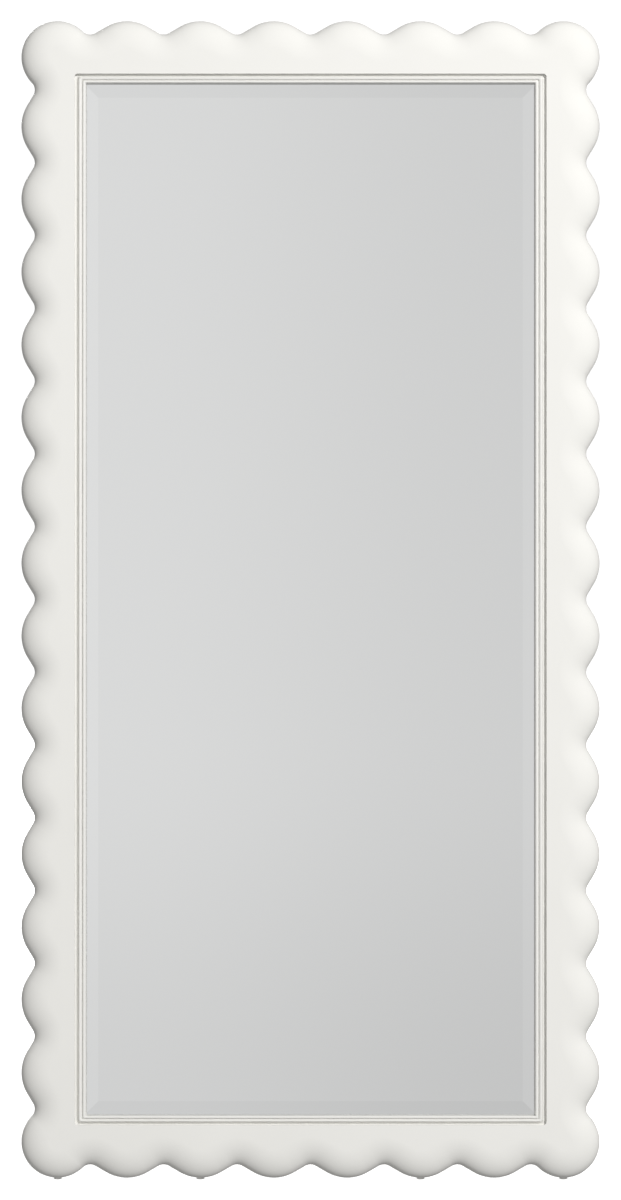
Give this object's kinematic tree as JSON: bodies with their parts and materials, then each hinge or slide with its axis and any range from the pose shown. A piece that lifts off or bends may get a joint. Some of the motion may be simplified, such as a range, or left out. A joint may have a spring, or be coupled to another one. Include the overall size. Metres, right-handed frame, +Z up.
{
  "type": "floor mirror",
  "caption": "Full-length rectangular floor mirror with a white scalloped, softly rounded frame, reeded inner moulding and bevelled plate, leaning back on a fold-out tubular stand.",
  "frame": {"origin": "on the floor, under the middle of the whole object's box", "axes": "+Z up, -Y is the way the mirror faces, +X to the right of someone looking at its front"},
  "size_m": [1.016, 0.389, 2.0165],
  "materials": {
    "frame_lacquer": "satin off-white lacquer over sculpted fibreboard",
    "spline_wood": "plain beech plywood",
    "mirror_glass": "silvered glass, polished bevel",
    "black_rubber": "matt moulded rubber",
    "cushion_card": "plain card",
    "backing_hardboard": "smooth-faced brown hardboard",
    "brass_zinc_screw": "yellow zinc plate",
    "zinc_steel": "bright zinc plate",
    "white_powder_coat": "satin off-white powder coat",
    "white_nylon": "natural nylon",
    "black_plastic": "fine-textured moulded plastic"
  },
  "bodies": {
    "mirror": {"stile_left": "frame_lacquer", "stile_right": "frame_lacquer", "rail_top": "frame_lacquer", "rail_bottom": "frame_lacquer", "mitre_splines": "spline_wood", "sight_moulding_left": "frame_lacquer", "sight_moulding_right": "frame_lacquer", "sight_moulding_top": "frame_lacquer", "sight_moulding_bottom": "frame_lacquer", "mirror_plate": "mirror_glass", "setting_pads": "black_rubber", "side_spacers": "black_rubber", "cushion_sheet": "cushion_card", "backing_board": "backing_hardboard", "backing_screws": "brass_zinc_screw", "corner_plates": "zinc_steel", "corner_plate_screws": "zinc_steel", "floor_glides": "white_nylon", "pivot_bracket_left": "white_powder_coat", "pivot_bracket_right": "white_powder_coat", "bracket_screws": "zinc_steel", "pivot_bolts": "zinc_steel", "pivot_nuts": "zinc_steel", "pivot_washers": "white_nylon", "hanger_plates": "zinc_steel", "hanger_screws": "zinc_steel", "restraint_brackets": "zinc_steel", "restraint_screws": "zinc_steel"},
    "stand": {"stand_tube": "white_powder_coat", "tube_plugs": "black_plastic", "foot_sleeve_left": "black_rubber", "foot_sleeve_right": "black_rubber"},
    "ring_left": {"hanger_ring_left": "zinc_steel"},
    "ring_right": {"hanger_ring_right": "zinc_steel"}
  },
  "joints": [
    {"name": "stand_fold", "type": "hinge", "parent": "mirror", "child": "stand", "pos_m": [0, 0.0468, 1.28579], "axis": [1, 0, 0], "range_deg": [-14, 0]},
    {"name": "ring_left_swing", "type": "hinge", "parent": "mirror", "child": "ring_left", "pos_m": [-0.446, 0.0763, 1.62498], "axis": [1, 0, 0], "range_deg": [-10, 160]},
    {"name": "ring_right_swing", "type": "hinge", "parent": "mirror", "child": "ring_right", "pos_m": [0.446, 0.0763, 1.62498], "axis": [1, 0, 0], "range_deg": [-10, 160]}
  ]
}
